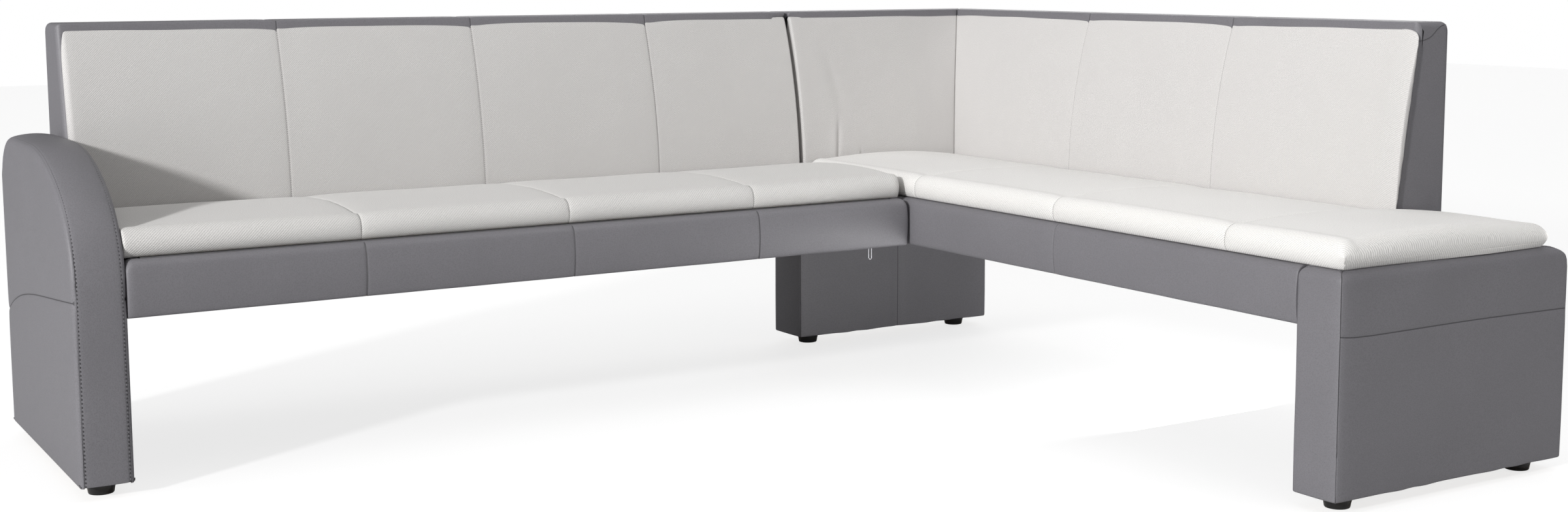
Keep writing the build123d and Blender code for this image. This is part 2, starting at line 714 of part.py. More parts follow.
hook_z = rail_top - frame_screw_head_radius
hook_pair(y_front + hook_distance, hook_z)
hook_pair(y_wall - hook_distance, hook_z)
latch()

os.makedirs("parts", exist_ok=True)
for name, pieces in nodes.items():
    solids = [solid for piece in pieces for solid in piece.solids()]
    shape = solids[0] if len(solids) == 1 else Compound(children=solids)
    export_step(shape, f"parts/{name}.step")
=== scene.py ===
"""Looks of an upholstered corner bench: leather skins, woven cushions, stitches, feet, light and camera.

Metres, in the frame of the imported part. Cushions, skins and slabs are closed outlines carried along
straight runs: an outline moves in and out along its own normals to make crowns, rounded ends and sewn
lines. The arm's side panels, the stitches and the feet are grids of their own.
"""
import json
import math

import bmesh
import bpy
import numpy as np
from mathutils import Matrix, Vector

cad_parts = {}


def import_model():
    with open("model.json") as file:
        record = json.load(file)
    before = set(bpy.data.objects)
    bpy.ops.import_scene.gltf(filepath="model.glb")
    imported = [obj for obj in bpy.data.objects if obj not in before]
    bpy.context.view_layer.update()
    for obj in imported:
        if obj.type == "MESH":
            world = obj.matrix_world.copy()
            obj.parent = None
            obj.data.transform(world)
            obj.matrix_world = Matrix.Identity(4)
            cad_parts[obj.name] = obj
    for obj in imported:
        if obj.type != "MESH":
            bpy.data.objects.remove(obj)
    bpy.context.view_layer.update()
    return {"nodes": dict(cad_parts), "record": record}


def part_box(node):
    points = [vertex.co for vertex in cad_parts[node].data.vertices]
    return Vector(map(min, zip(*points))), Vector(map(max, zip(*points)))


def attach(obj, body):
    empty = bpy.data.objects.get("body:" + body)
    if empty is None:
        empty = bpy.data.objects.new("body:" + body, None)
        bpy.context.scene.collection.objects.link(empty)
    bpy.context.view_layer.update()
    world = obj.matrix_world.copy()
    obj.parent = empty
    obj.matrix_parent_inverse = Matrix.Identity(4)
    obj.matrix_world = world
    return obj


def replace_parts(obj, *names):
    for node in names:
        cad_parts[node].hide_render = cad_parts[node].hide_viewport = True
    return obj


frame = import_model()


def corners(node):
    """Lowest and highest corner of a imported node, as arrays."""
    low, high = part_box(node)
    return np.array(low), np.array(high)


# Places of the frame
arm_low, arm_high = corners("arm_cover")
left_low, left_high = corners("left_frame_cover")
right_low, right_high = corners("right_frame_cover")
end_low, end_high = corners("end_panel_cover")
leg_low, leg_high = corners("corner_leg_cover")
left_seat_low, left_seat_high = corners("left_seat_cushion")
right_seat_low, right_seat_high = corners("right_seat_cushion")
left_back_low, left_back_high = corners("left_back_cover")
right_back_low = corners("right_back_cover")[0]

x_left, x_arm = arm_low[0], arm_high[0]
x_joint, x_wall = right_low[0], right_high[0]
y_front, y_wall = left_low[1], left_high[1]
frame_bottom, frame_top = left_low[2], left_high[2]
back_top = left_back_high[2]
left_length = left_high[0] - x_arm
right_length = y_wall - right_low[1]
left_depth = y_wall - y_front
right_depth = x_wall - x_joint
left_back_base = y_wall - left_back_low[1]
right_back_base = x_wall - right_back_low[0]
right_back_length = y_wall - right_back_low[1]
mitre = right_back_base / left_back_base
left_back_rim = 0.114                     # depth of the left back at its top
right_back_rim = left_back_rim * mitre

# Sewn lines: along the left wing from the arm, along the right wing from the corner, and on two slabs
left_seams = [left_length * share for share in (0.26, 0.516, 0.772)]
right_seat_seams = [left_depth + gap for gap in (0.0, 0.5, 1.003)]
right_back_seams = [left_depth + gap for gap in (0.0, 0.486)]
right_apron_seams = [left_depth + 0.515]
end_seam_height = 0.318
leg_seam_place = 0.945

# Soft forms
seat_crown_place = 0.3
nose_tuck = 0.012
nose_round = 0.042
nose_height = 0.028
front_rise = 0.054
crown_rise = 0.061
rear_rise = 0.043
back_pad = 0.045
back_crown = 0.017
rim_height = 0.012                        # leather that shows above the fabric of a back
stitch_pitch = 0.0074
stitch_line = 0.0095                      # from the arm's edges to its rows of stitches
stitch_lines = (x_left + stitch_line, x_arm - stitch_line)
draw_width = 0.012                        # how far from a corner a rounded end is blended
arc_points = 60
fine_step = 0.0008                        # spacing of an outline before its points are chosen
notch_width = 0.0022                      # how fast the notch at a sewn line fades
no_seam = 1.0                             # distance that stands for no sewn line near
leather_thickness = 0.0012
foot_width = 0.052

# Threads of the cloth
warp_pitch = 0.0012
weft_pitch = 0.0011
dash_pitch = 0.0048


# Outlines and runs

def three_point_arc(first, middle, last):
    """Points on the circle through three points, from the first to the last, as complex numbers."""
    a, b, c = (complex(*p) for p in (first, middle, last))
    w = (c - a) / (b - a)
    centre = a + (b - a) * (w - abs(w) ** 2) / (2j * w.imag)
    start = np.angle(a - centre)
    sweep = np.angle((c - centre) / (a - centre))
    if np.sign(sweep) != np.sign(np.angle((b - centre) / (a - centre))):
        sweep -= 2 * np.pi * np.sign(sweep)
    return centre + abs(a - centre) * np.exp(1j * (start + sweep * np.linspace(0, 1, arc_points)))


def run_length(points):
    """Length along a run of complex points, up to each point."""
    return np.append(0, np.cumsum(np.abs(np.diff(points))))


def between(wanted, places, values):
    """Complex values read between the places that they are given at."""
    return np.interp(wanted, places, values.real) + 1j * np.interp(wanted, places, values.imag)


def pick(loop, place):
    """Complex values of a closed loop at places between its points."""
    closed = np.append(loop, loop[0])
    return between(place, np.arange(len(closed)), closed)


def blurred(loop, wave, width):
    """A closed loop smoothed by a Gaussian of a width: its waves fade with the square of their pace."""
    return np.fft.ifft(np.fft.fft(loop) * np.exp(-2 * (np.pi * wave * width) ** 2))


def eased(share):
    """A share from 0 to 1, level at both ends: s * s * (3 - 2 * s)."""
    return share * share * (3 - 2 * share)


def outline(runs, soft, step, turn=0.16):
    """A closed outline through runs of points, with its corners rounded off.

    The runs are joined and stepped evenly, and a Gaussian as wide as soft smooths the loop. Points are
    then spaced so that each step is no longer than step and turns by no more than turn. Gives the points,
    the outward normals and the inward draws of a rounded end as complex numbers, and the length up to each
    point. A draw is the normal, smoothed over the corners and made long enough to move both sides in by one.
    """
    rough = np.concatenate([np.atleast_1d(np.asarray(run, complex)) for run in runs])
    rough = np.append(rough, rough[0])
    length = run_length(rough)
    count = int(length[-1] / fine_step)
    even = np.arange(count) * length[-1] / count
    wave = np.fft.fftfreq(count, length[-1] / count)
    loop = blurred(between(even, length, rough), wave, soft)
    run = np.roll(loop, -1) - np.roll(loop, 1)
    blunt = blurred(-1j * run / np.abs(run), wave, draw_width)
    draw = -blunt / np.maximum(np.abs(blunt), 0.5) ** 2
    bend = np.abs(np.angle(np.roll(run, -1) / run))
    cost = np.append(0, np.cumsum(np.abs(run) / 2 / step + bend / turn))
    wanted = np.linspace(0, cost[-1], int(np.ceil(cost[-1])) + 1)[:-1]
    place = np.interp(wanted, cost, np.arange(count + 1))
    points, heading, inward = (pick(values, place) for values in (loop, run, draw))
    return points, -1j * heading / np.abs(heading), inward, run_length(np.append(points, points[0]))


# Distances from a sewn line, and shares of a rounded edge, that get points of their own
seam_fan = np.array([0.0, 0.0006, 0.0013, 0.0022, 0.0034, 0.005, 0.0075, 0.011, 0.016, 0.023, 0.032])
round_fan = 1 - np.cos(np.linspace(0, np.pi / 2, 9))
fan_clearance = 0.004


def stations(start, end, lines, radii, step=0.014):
    """Places along a run: evenly spaced, and close together at sewn lines and in the rounded ends."""
    close = [start + radii[0] * round_fan, end - radii[1] * round_fan]
    close += [line + side * seam_fan for line in lines for side in (-1, 1)]
    close = np.unique(np.round(np.concatenate(close), 5))
    close = close[(close >= start - 1e-6) & (close <= end + 1e-6)]
    fill = np.linspace(start, end, int((end - start) / step) + 2)
    clear = np.abs(fill[:, None] - close[None, :]).min(axis=1) > fan_clearance
    return np.sort(np.append(close, fill[clear]))


def beside(places, lines):
    """How far each place lies past the nearest line, or no_seam where there are no lines."""
    if len(lines) == 0:
        return np.full(np.shape(places), no_seam)
    past = np.asarray(places)[..., None] - np.asarray(lines)
    closest = np.abs(past).argmin(axis=-1)[..., None]
    return np.take_along_axis(past, closest, axis=-1)[..., 0]


def nearest(places, lines):
    """Distance from each place to the nearest line."""
    return np.abs(beside(places, lines))


def sewn(distance, notch, pull, spread):
    """How deep cloth is drawn in at a distance from a sewn line: a fine notch and a wide pull."""
    return notch * np.exp(-distance / notch_width) + pull * np.exp(-distance / spread)


def lapped(past, rise, width):
    """How high the upper panel of a lapped seam stands: a step at the line that fades away past it."""
    return rise * np.exp(-np.maximum(past, 0) / width) * (past > 0)


def quarter(distance, radius):
    """How far a rounded end is drawn in at a distance from the end: a quarter circle."""
    left = radius - np.clip(distance, 0, radius)
    return radius - np.sqrt(np.maximum(radius ** 2 - left ** 2, 0))


def ripple(along, across, seed, size, amount):
    """Slow waves over a surface: a sum of sines in seeded directions, about one size long."""
    rng = np.random.default_rng(seed)
    total = np.zeros(np.broadcast(along, across).shape)
    for _ in range(7):
        turn, phase = rng.uniform(0, 2 * np.pi, 2)
        pace = 2 * np.pi / (size * rng.uniform(0.7, 1.6))
        total = total + np.sin(pace * (along * np.cos(turn) + across * np.sin(turn)) + phase)
    return amount * total / 7


# Meshes

sharp_turn = math.radians(55.0)


def smooth(mesh):
    """Smooth shading, with the edges that turn sharply left sharp."""
    mesh.shade_smooth()
    mesh.set_sharp_from_angle(angle=sharp_turn)


def linked(name, data):
    """A new object in the scene."""
    thing = bpy.data.objects.new(name, data)
    bpy.context.scene.collection.objects.link(thing)
    return thing


def new_piece(name, points, faces, uv, seam, material):
    """A smooth mesh object from vertices, four-sided faces, a UV pair per face corner and seam distances."""
    used, index = np.unique(faces, return_inverse=True)
    faces = index.reshape(faces.shape)
    mesh = bpy.data.meshes.new(name)
    mesh.from_pydata(points[used].tolist(), [], faces.tolist())
    mesh.uv_layers.new(name="cloth").data.foreach_set("uv", uv.astype(np.float32).ravel())
    line = mesh.attributes.new("seam", "FLOAT", "POINT")
    line.data.foreach_set("value", seam[used].astype(np.float32))
    smooth(mesh)
    mesh.materials.append(material)
    piece = linked(name, mesh)
    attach(piece, "bench")
    return piece


def copies(name, grids, single, material):
    """One piece of many like shapes: grids of points by shape, row and column, each with the same faces."""
    count, rows, columns = grids.shape[:3]
    faces = (single[None] + np.arange(count)[:, None, None] * rows * columns).reshape(-1, 4)
    points = grids.reshape(-1, 3)
    seam = np.full(len(points), no_seam)
    return new_piece(name, points, faces, np.zeros((faces.size, 2)), seam, material)


def close_poles(piece):
    """Merge the points that fall together where a form comes to a pole or a fold."""
    work = bmesh.new()
    work.from_mesh(piece.data)
    bmesh.ops.remove_doubles(work, verts=work.verts, dist=1e-6)
    bmesh.ops.dissolve_degenerate(work, edges=work.edges, dist=1e-7)
    work.to_mesh(piece.data)
    work.free()
    smooth(piece.data)


def band_faces(rows, columns):
    """Quads of a grid whose rows are closed loops."""
    i = np.arange(rows - 1)[:, None] * columns
    j = np.arange(columns)[None, :]
    k = (j + 1) % columns
    return np.stack([i + j, i + k, i + columns + k, i + columns + j], axis=-1)


def face_corners(here, ahead):
    """Values at the four corners of each quad of a grid, from those at its points and at the next ones."""
    return np.stack([here[:-1], ahead[:-1], ahead[1:], here[1:]], axis=2)


def unfolded(ring):
    """The ring with its points turning one way only, and once round, about its middle.

    angle = min(running maximum of angle, first angle + 2 pi)
    """
    middle = ring.mean()
    spokes = ring - middle
    angle = np.unwrap(np.angle(spokes))
    way = np.sign(angle[-1] - angle[0])
    angle = np.minimum(np.maximum.accumulate(way * angle), way * angle[0] + 2 * np.pi)
    return middle + np.abs(spokes) * np.exp(1j * way * angle)


def end_rings(last, level, rings):
    """Rings that close an outline: shrunk to its middle or, if a level is given, flattened to that height.

    Shrinking rings follow the outline with its corners smoothed, so that no fold runs on to the middle.
    """
    fill = np.linspace(0, 1, rings + 1)[1:, None]
    if level is None:
        blunt = unfolded(last)
        for _ in range(24):
            blunt = (np.roll(blunt, 1) + 2 * blunt + np.roll(blunt, -1)) / 4
        return blunt + (last.mean() - blunt) * (0.02 + 0.98 * fill)
    flat = last.real + 1j * (level + (last.imag - level) * (1 - 0.95 * fill[:-1]))
    return np.concatenate([flat, np.full((1, len(last)), complex(last.real.mean(), level))])


def carried(name, loop, places, swell, seam, to_world, material, radii, round_share=(1.0, 1.0),
            level=None, caps=(True, True), drop=None):
    """A closed outline carried along places, as one skin.

    At each place the outline is moved along its normals by swell, and along its draws by the rounding of
    the ends times round_share. Each end with a cap is closed by rings. drop takes away faces, by place and
    outline point, to leave the skin open there.
    """
    points, normal, inward, arc = loop
    side_share, height_share = round_share
    ends = quarter(places - places[0], radii[0]) + quarter(places[-1] - places, radii[1])
    drawn = inward.real * side_share + 1j * inward.imag * height_share
    shape = points + normal * swell + ends[:, None] * drawn
    along = np.broadcast_to(places[:, None], shape.shape)
    seam = np.broadcast_to(seam, shape.shape)

    rings = 10
    parts = [(shape, along, seam, np.zeros(len(places) - 1, bool))]
    for end, side in ((0, -1), (-1, 1)):
        if not caps[end]:
            continue
        ring = end_rings(shape[end], level, rings)[::side]
        far = (np.minimum(seam[end], no_seam) + np.linspace(0.004, 0.05, rings)[:, None])[::side]
        cap = [(ring, np.full(ring.shape, places[end]), far, np.ones(rings, bool))]
        parts = cap + parts if side < 0 else parts + cap
    shape, along, seam, flat = (np.concatenate(part) for part in zip(*parts))

    world = to_world(along, shape.real, shape.imag)
    faces = band_faces(*shape.shape)
    ahead = np.roll(shape, -1, axis=1)
    cap_uv = face_corners(*(np.stack([ring.real, ring.imag], -1) for ring in (shape, ahead)))
    run_uv = face_corners(*(np.stack(np.broadcast_arrays(along, run), -1) for run in (arc[:-1], arc[1:])))
    uv = np.where(flat[:, None, None, None], cap_uv, run_uv)

    kept = np.ones(faces.shape[:2], bool)
    if drop is not None:
        first = rings if caps[0] else 0
        kept[first:first + len(places) - 1] &= ~drop
    piece = new_piece(name, world.reshape(-1, 3), faces[kept], uv[kept], seam.ravel(), material)
    close_poles(piece)
    return piece


def thicken(piece, thickness=leather_thickness):
    """Give an open skin its thickness, inwards."""
    wall = piece.modifiers.new("wall", "SOLIDIFY")
    wall.thickness = thickness
    wall.offset = -1
    wall.use_rim = True
    return piece


# Materials

def node_tree(name):
    """A new material with its node tree and shader."""
    material = bpy.data.materials.new(name)
    material.use_nodes = True
    tree = material.node_tree
    return material, tree, tree.nodes["Principled BSDF"]


def placed_tree(name):
    """A new material with its node tree, shader and places on the object."""
    material, tree, shader = node_tree(name)
    return material, tree, shader, add(tree, "TexCoord").outputs["Object"]


def wire(tree, node, inputs):
    """Set a node's inputs to values or link them to sockets, by name, or by number after an i."""
    for key, value in inputs.items():
        socket = node.inputs[int(key[1:])] if key[0] == "i" and key[1:].isdigit() else node.inputs[key]
        if isinstance(value, bpy.types.NodeSocket):
            tree.links.new(value, socket)
        else:
            socket.default_value = value


def add(tree, kind, settings=None, **inputs):
    """A node with its settings and inputs."""
    node = tree.nodes.new("ShaderNode" + kind)
    for key, value in (settings or {}).items():
        setattr(node, key, value)
    wire(tree, node, inputs)
    return node


def maths(tree, operation, first, second=0.0, third=0.0):
    """A Math node's result."""
    return add(tree, "Math", {"operation": operation}, i0=first, i1=second, i2=third).outputs[0]


def blend_colour(tree, share, first, second):
    """A colour between two, by a share."""
    return add(tree, "Mix", {"data_type": "RGBA"}, i0=share, i6=first, i7=second).outputs[2]


def ridges(tree, value, pitch):
    """A sine of a value that repeats at a pitch."""
    return maths(tree, "SINE", maths(tree, "MULTIPLY", value, 2 * math.pi / pitch))


def falloff(tree, value, near, far):
    """1 where a value is below near, 0 above far, smooth between."""
    limits = {"From Min": near, "From Max": far, "To Min": 1.0, "To Max": 0.0}
    return add(tree, "MapRange", {"interpolation_type": "SMOOTHSTEP"}, Value=value, **limits).outputs[0]


def seam_line(tree, width):
    """1 on a sewn line, 0 from a width away."""
    seam = add(tree, "Attribute", {"attribute_name": "seam"}).outputs["Fac"]
    return falloff(tree, seam, 0.0005, width)


def noise(tree, vector, scale, detail, roughness=0.5):
    """Noise on a vector."""
    return add(tree, "TexNoise", None, Vector=vector, Scale=scale, Detail=detail,
               Roughness=roughness).outputs["Fac"]


def shade(rgb, factor=1.0):
    """A colour for a socket, brightened or darkened."""
    return (*[min(channel * factor, 1.0) for channel in rgb], 1.0)


def set_bump(tree, shader, height, strength, distance):
    """Bump from a height."""
    bump = add(tree, "Bump", None, Height=height, Strength=strength, Distance=distance)
    tree.links.new(bump.outputs["Normal"], shader.inputs["Normal"])


def leather_material():
    """Matt grey artificial leather: fine pebbled grain, faint cloudiness, dark sewn lines."""
    base = (0.185, 0.180, 0.194)
    material, tree, shader, place = placed_tree("grey_leather_grain")
    cloud = noise(tree, place, 9.0, 4.0)
    pebble = add(tree, "TexVoronoi", {"feature": "SMOOTH_F1"}, Vector=place, Scale=480.0).outputs["Distance"]
    fine = noise(tree, place, 900.0, 2.0)
    grain = maths(tree, "MULTIPLY_ADD", fine, 0.35, pebble)
    colour = blend_colour(tree, cloud, shade(base, 0.93), shade(base, 1.07))
    mottled = blend_colour(tree, falloff(tree, grain, 0.2, 0.75), colour, shade(base, 0.84))
    line = maths(tree, "MULTIPLY", seam_line(tree, 0.0016), 0.72)
    wire(tree, shader, {"Base Color": blend_colour(tree, line, mottled, shade(base, 0.16)),
                        "Roughness": maths(tree, "MULTIPLY_ADD", cloud, 0.14, 0.44),
                        "Specular IOR Level": 0.4})
    set_bump(tree, shader, grain, 0.28, 0.0006)
    return material


def woven_material(name, base, bold, pitch):
    """Pale woven cloth: diagonal twill ribs one pitch apart, slubs, faint darker cloudy patches, dotted sewn
    lines.
    """
    material, tree, shader = node_tree(name)
    uv = add(tree, "UVMap", {"uv_map": "cloth"}).outputs["UV"]
    split = add(tree, "SeparateXYZ", None, Vector=uv)
    along, across = split.outputs["X"], split.outputs["Y"]
    wander = maths(tree, "MULTIPLY_ADD", noise(tree, uv, 160.0, 2.0), 0.0012, along)
    rib = ridges(tree, maths(tree, "ADD", wander, across), pitch)
    checks = maths(tree, "MULTIPLY", ridges(tree, along, warp_pitch), ridges(tree, across, weft_pitch))
    weave = maths(tree, "MULTIPLY_ADD", checks, 0.35, rib)
    slub = noise(tree, uv, 420.0, 3.0)
    cloud = noise(tree, uv, 17.0, 6.0, 0.6)
    height = maths(tree, "MULTIPLY_ADD", slub, 0.8, weave)
    tone = maths(tree, "MULTIPLY_ADD", weave, 0.28, maths(tree, "MULTIPLY_ADD", slub, 1.2, -0.1))
    colour = blend_colour(tree, tone, shade(base, 1.0 - bold), shade(base, 1.0 + 0.5 * bold))
    # faint darker patches from cloudy noise, at random over the cloth
    cloudy_patches = maths(tree, "MULTIPLY", falloff(tree, cloud, 0.36, 0.66), 0.5)
    colour = blend_colour(tree, cloudy_patches, colour, shade(base, 0.91))
    dash = maths(tree, "MULTIPLY_ADD", ridges(tree, across, dash_pitch), 0.22, 0.5)
    line = maths(tree, "MULTIPLY", seam_line(tree, 0.0015), dash)
    wire(tree, shader, {"Base Color": blend_colour(tree, line, colour, shade(base, 0.2)),
                        "Roughness": 0.9, "Specular IOR Level": 0.2, "Sheen Weight": 0.15})
    set_bump(tree, shader, height, 0.3, 0.11 * pitch)
    return material


def wood_material(name, base, ring, stretch):
    """Sawn wood: rings of growth drawn out along the piece, with pores."""
    material, tree, shader, place = placed_tree(name)
    drawn = add(tree, "Mapping", None, Vector=place, Scale=stretch).outputs[0]
    grain = noise(tree, drawn, ring, 6.0, 0.6)
    pores = noise(tree, drawn, ring * 9, 2.0)
    bands = maths(tree, "SINE", maths(tree, "MULTIPLY", grain, 38.0))
    share = maths(tree, "MULTIPLY_ADD", bands, 0.3, 0.5)
    colour = blend_colour(tree, share, shade(base, 0.82), shade(base, 1.1))
    colour = blend_colour(tree, falloff(tree, pores, 0.3, 0.45), colour, shade(base, 0.6))
    wire(tree, shader, {"Base Color": colour, "Roughness": 0.65})
    set_bump(tree, shader, grain, 0.2, 0.0005)
    return material


def fibre_material(name, base, size, rough, depth):
    """Pressed or spun fibres: noise in two sizes for the colour, and the finer one for the height."""
    material, tree, shader, place = placed_tree(name)
    fine = noise(tree, place, 1.0 / size, 5.0, 0.65)
    coarse = noise(tree, place, 0.05 / size, 3.0)
    mixed = maths(tree, "MULTIPLY_ADD", coarse, 0.5, maths(tree, "MULTIPLY", fine, 0.5))
    colour = blend_colour(tree, mixed, shade(base, 0.75), shade(base, 1.25))
    wire(tree, shader, {"Base Color": colour, "Roughness": rough})
    set_bump(tree, shader, fine, 0.4, depth)
    return material


def webbing_material():
    """Elastic webbing: fine ribs in X, crossed by closer and lower ones in Y."""
    base = (0.62, 0.58, 0.50)
    material, tree, shader, place = placed_tree("elastic_webbing")
    split = add(tree, "SeparateXYZ", None, Vector=place)
    ribs = ridges(tree, split.outputs["X"], 0.0024)
    weave = maths(tree, "MULTIPLY_ADD", ridges(tree, split.outputs["Y"], 0.0016), 0.5, ribs)
    share = maths(tree, "MULTIPLY_ADD", weave, 0.3, 0.5)
    colour = blend_colour(tree, share, shade(base, 0.7), shade(base, 1.1))
    wire(tree, shader, {"Base Color": colour, "Roughness": 0.8})
    set_bump(tree, shader, weave, 0.3, 0.0003)
    return material


def steel_material():
    """Zinc plated steel: brushed, with a faint blotchy passivation."""
    material, tree, shader, place = placed_tree("zinc_plated_steel")
    drawn = add(tree, "Mapping", None, Vector=place, Scale=(40.0, 900.0, 900.0)).outputs[0]
    brush = noise(tree, drawn, 1.0, 3.0)
    blotch = noise(tree, place, 60.0, 3.0)
    colour = blend_colour(tree, blotch, shade((0.36, 0.36, 0.38)), shade((0.50, 0.50, 0.52)))
    rough = maths(tree, "MULTIPLY_ADD", brush, 0.2, 0.26)
    wire(tree, shader, {"Base Color": colour, "Roughness": rough, "Metallic": 1.0})
    set_bump(tree, shader, brush, 0.1, 0.0001)
    return material


def plastic_material():
    """Glossy black moulded plastic with a faint orange-peel surface and fine scuffs."""
    material, tree, shader, place = placed_tree("glossy_black_plastic")
    peel = noise(tree, place, 260.0, 2.0)
    scuff = noise(tree, place, 900.0, 4.0, 0.7)
    colour = blend_colour(tree, scuff, shade((0.009, 0.009, 0.010)), shade((0.02, 0.02, 0.021)))
    rough = maths(tree, "MULTIPLY_ADD", scuff, 0.2, 0.1)
    wire(tree, shader, {"Base Color": colour, "Roughness": rough, "Coat Weight": 0.3})
    set_bump(tree, shader, peel, 0.06, 0.0003)
    return material


def thread_material():
    """Dark sewing thread, its twist in fine noise."""
    material, tree, shader, place = placed_tree("dark_thread")
    twist = noise(tree, place, 2500.0, 2.0)
    colour = blend_colour(tree, twist, shade((0.035, 0.034, 0.037)), shade((0.075, 0.072, 0.078)))
    wire(tree, shader, {"Base Color": colour, "Roughness": 0.7})
    set_bump(tree, shader, twist, 0.3, 0.0002)
    return material


leather = leather_material()
# The seats and backs share one cloth. The left seat's copy is darker: painted shade for the light that falls
# off along the left wing.
shaded_left_seat_cloth = woven_material("shaded_left_seat_twill", (0.715, 0.701, 0.684), 0.36, 0.0056)
# The right seat's copy of the same cloth is lighter: a painted lit tone.
lit_right_seat_cloth = woven_material("lit_right_seat_twill", (0.835, 0.82, 0.80), 0.36, 0.0056)
# The backs' copy of the same cloth is darker still: painted shade for their upright, less lit faces.
shaded_back_cloth = woven_material("shaded_back_twill", (0.645, 0.629, 0.618), 0.28, 0.0046)
black_plastic = plastic_material()
thread = thread_material()
finishes = {
    "seat_fabric": lit_right_seat_cloth,
    "grey_leather": leather,
    "black_plastic": black_plastic,
    "webbing": webbing_material(),
    "felt": fibre_material("grey_felt", (0.20, 0.20, 0.21), 0.0012, 0.95, 0.0008),
    "dust_sheet": fibre_material("black_spunbond", (0.018, 0.018, 0.02), 0.0009, 0.9, 0.0003),
    "zinc_steel": steel_material(),
    "hardboard": fibre_material("brown_hardboard", (0.19, 0.105, 0.055), 0.0010, 0.7, 0.0002),
    "plywood": wood_material("birch_plywood", (0.60, 0.45, 0.28), 14.0, (1.0, 6.0, 1.5)),
    "softwood": wood_material("pine_rail", (0.62, 0.43, 0.23), 16.0, (1.0, 4.0, 5.0)),
}
for row in frame["record"]["subparts"]:
    for holder in frame["nodes"][row["node"]].material_slots:
        holder.material = finishes[row["material_slot"]]


# Frames of the two wings

def on_left(along, across, height):
    """The left wing's run to the bench: along X from the arm, across from the wall."""
    return np.stack([x_arm + along, y_wall + across, height], axis=-1)


def on_corner(along, across, height):
    """The corner's run: along X from the joint, drawn out to the mitre in its last stretch."""
    bend = 0.35
    end = right_depth + mitre * across
    drawn = bend + (along - bend) * (end - bend) / (right_depth - bend)
    return np.stack([x_joint + np.where(along > bend, drawn, along), y_wall + across, height], axis=-1)


def on_right(along, across, height):
    """The right wing's run: along -Y from the corner, across from the wall at +X."""
    return np.stack([x_wall + across, y_wall - along, height], axis=-1)


def on_right_mitre(along, across, height):
    """The right wing's run, drawn out to the mitre in its first stretch."""
    bend = 0.45
    start = -across / mitre
    drawn = start + along * (bend - start) / bend
    return np.stack([x_wall + across, y_wall - np.where(along < bend, drawn, along), height], axis=-1)


# Seat cushions

def seat_outline(nose, rear):
    """Across a seat: flat base, square rear, crowned top, round nose that tucks under."""
    base = (nose + nose_tuck, frame_top)
    front = (nose, frame_top + nose_height)
    shoulder = (nose + nose_round, frame_top + front_rise)
    crown = (nose + seat_crown_place * (rear - nose), frame_top + crown_rise)
    top = (rear, frame_top + rear_rise)
    runs = [complex(*base), complex(rear, frame_top), three_point_arc(top, crown, shoulder),
            three_point_arc(shoulder, front, base)]
    return outline(runs, 0.004, 0.016)


def seat_cushion(name, loop, places, seams, to_world, cloth, radii, round_share, seed):
    """A seat cushion: panels crowned between sewn lines that run over the top and the nose."""
    points, _, _, arc = loop
    free = np.clip((points.imag - frame_top) / 0.02, 0, 1)
    distance = nearest(places, seams)[:, None]
    swell = -sewn(distance, 0.0016, 0.0038, 0.024) * free
    swell = swell + ripple(places[:, None], arc[None, :-1], seed, 0.22, 0.0011) * free
    pucker = np.sin(2 * np.pi * arc[:-1] / 0.019 + 5 * np.sin(arc[:-1] * 37))
    swell = swell + 0.00028 * np.exp(-distance / 0.011) * pucker * free
    piece = carried(name, loop, places, swell, distance, to_world, cloth,
                    radii, (round_share[0], round_share[1] * free), frame_top + 0.012)
    return piece


left_loop = seat_outline(left_seat_low[1] - y_wall, left_seat_high[1] - y_wall)
left_ends = (0.005, 0.022)
left_places = stations(left_seat_low[0] - x_arm, left_seat_high[0] - x_arm, left_seams, left_ends)
left_seat = seat_cushion("left_seat", left_loop, left_places, left_seams, on_left, shaded_left_seat_cloth,
                         left_ends, (1.0, 0.3), 11)
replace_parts(left_seat, "left_seat_cushion")

right_rear = right_seat_high[0] - x_wall
right_start = y_wall - right_seat_high[1]
right_end = y_wall - right_seat_low[1]
seat_step = right_back_length + 0.003     # where the cushion widens past the end of the back
narrow_rear = -right_back_base - 0.003
end_tuck_height = 0.026
end_tuck_reach = 0.05


def on_right_seat(along, across, height):
    """The right wing's run, the cushion's rear drawn in beside the back and its end tucked under."""
    low = np.clip(1 - (height - frame_top) / end_tuck_height, 0, 1) ** 2
    close = np.clip(1 - (right_end - along) / end_tuck_reach, 0, 1)
    along = along - (0.013 + 0.004 * np.sin(11 * across + 1)) * low * close
    widen = eased(np.clip((along - seat_step + 0.006) / 0.012, 0, 1))
    start = -right_depth * 0.62
    drawn = start + (across - start) * (narrow_rear - start) / (right_rear - start)
    narrow = np.where(across > start, drawn, across)
    return on_right(along, narrow + (across - narrow) * widen, height)


right_loop = seat_outline(right_seat_low[0] - x_wall, right_rear)
right_ends = (0.02, 0.034)
right_places = stations(right_start, right_end, right_seat_seams + [seat_step], right_ends)
end_shares = (0.06, 1.0)                  # the end's upright edges stay sharper than its top edge
right_seat = seat_cushion("right_seat", right_loop, right_places, right_seat_seams, on_right_seat,
                          lit_right_seat_cloth, right_ends, end_shares, 23)
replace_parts(right_seat, "right_seat_cushion")


# Backs

edge = 0.012                              # rounding of a free end
side_rim = 0.016                          # leather beside the fabric at a free end
side_gap = 0.007
joint_gap = 0.001
joint_round = 0.0055
joint_tuck = 0.022
mitre_round = 0.006
lip_tuck = 0.005
tuck_reach = 0.04
lip_depth = 0.007                         # fabric edge that stands out past the free end of the right back
lip_reach = 0.014
lip_end = right_back_length - side_gap


def lean(base, rim, height):
    """Where the front plane of a back lies at a height."""
    share = (height - frame_top) / (back_top - frame_top)
    return -(base + (rim - base) * share)


